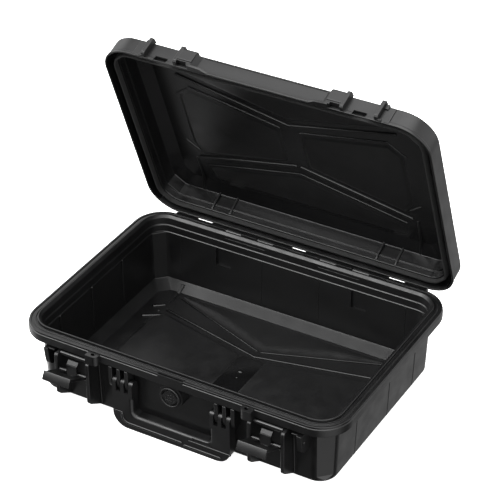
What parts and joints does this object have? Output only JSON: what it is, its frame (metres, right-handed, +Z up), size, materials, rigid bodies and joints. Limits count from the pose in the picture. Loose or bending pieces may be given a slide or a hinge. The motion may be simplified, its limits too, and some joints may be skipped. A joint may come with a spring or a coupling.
{
  "type": "waterproof hard case",
  "caption": "Shallow waterproof hard case with a hinged lid, draw latches, folding carry handle, lid gasket and pressure vent valve.",
  "frame": {"origin": "centre of the flat underside of the base", "axes": "+Z up, +X along the length to the viewer's right when facing the handle, -Y the handle and latch side"},
  "size_m": [0.412, 0.3666, 0.3776],
  "materials": {
    "case_black": "satin moulded polypropylene",
    "latch_black": "satin moulded nylon",
    "gasket_rubber": "matte",
    "pin_steel": "drawn wire",
    "membrane_white": "matte"
  },
  "bodies": {
    "base": {"base_shell": "case_black", "valve_body": "latch_black", "valve_cap": "latch_black", "valve_nut": "latch_black", "valve_o_ring": "gasket_rubber", "valve_membrane": "membrane_white", "latch_left_rod": "latch_black", "latch_right_rod": "latch_black", "latch_left_pin": "pin_steel", "latch_right_pin": "pin_steel", "hinge_pin_left": "pin_steel", "hinge_pin_right": "pin_steel", "handle_pin_left": "pin_steel", "handle_pin_right": "pin_steel"},
    "lid": {"lid_shell": "case_black", "lid_gasket": "gasket_rubber"},
    "handle": {"handle": "case_black"},
    "lever_left": {"latch_left_lever": "latch_black"},
    "lever_right": {"latch_right_lever": "latch_black"},
    "hook_left": {"latch_left_hook": "latch_black"},
    "hook_right": {"latch_right_hook": "latch_black"}
  },
  "joints": [
    {"name": "lid_hinge", "type": "hinge", "parent": "base", "child": "lid", "pos_m": [0, 0.1455, 0.0887], "axis": [-1, 0, 0], "range_deg": [-69.1, 26]},
    {"name": "handle_swing", "type": "hinge", "parent": "base", "child": "handle", "pos_m": [0, -0.1395, 0.0615], "axis": [-1, 0, 0], "range_deg": [0, 100]},
    {"name": "latch_left_lever_turn", "type": "hinge", "parent": "base", "child": "lever_left", "pos_m": [-0.125, -0.15, 0.0585], "axis": [1, 0, 0], "range_deg": [-62, 20]},
    {"name": "latch_right_lever_turn", "type": "hinge", "parent": "base", "child": "lever_right", "pos_m": [0.125, -0.15, 0.0585], "axis": [1, 0, 0], "range_deg": [-62, 20]},
    {"name": "latch_left_hook_turn", "type": "hinge", "parent": "base", "child": "hook_left", "pos_m": [-0.125, -0.15, 0.0585], "axis": [1, 0, 0], "range_deg": [0, 8]},
    {"name": "latch_right_hook_turn", "type": "hinge", "parent": "base", "child": "hook_right", "pos_m": [0.125, -0.15, 0.0585], "axis": [1, 0, 0], "range_deg": [0, 8]}
  ]
}
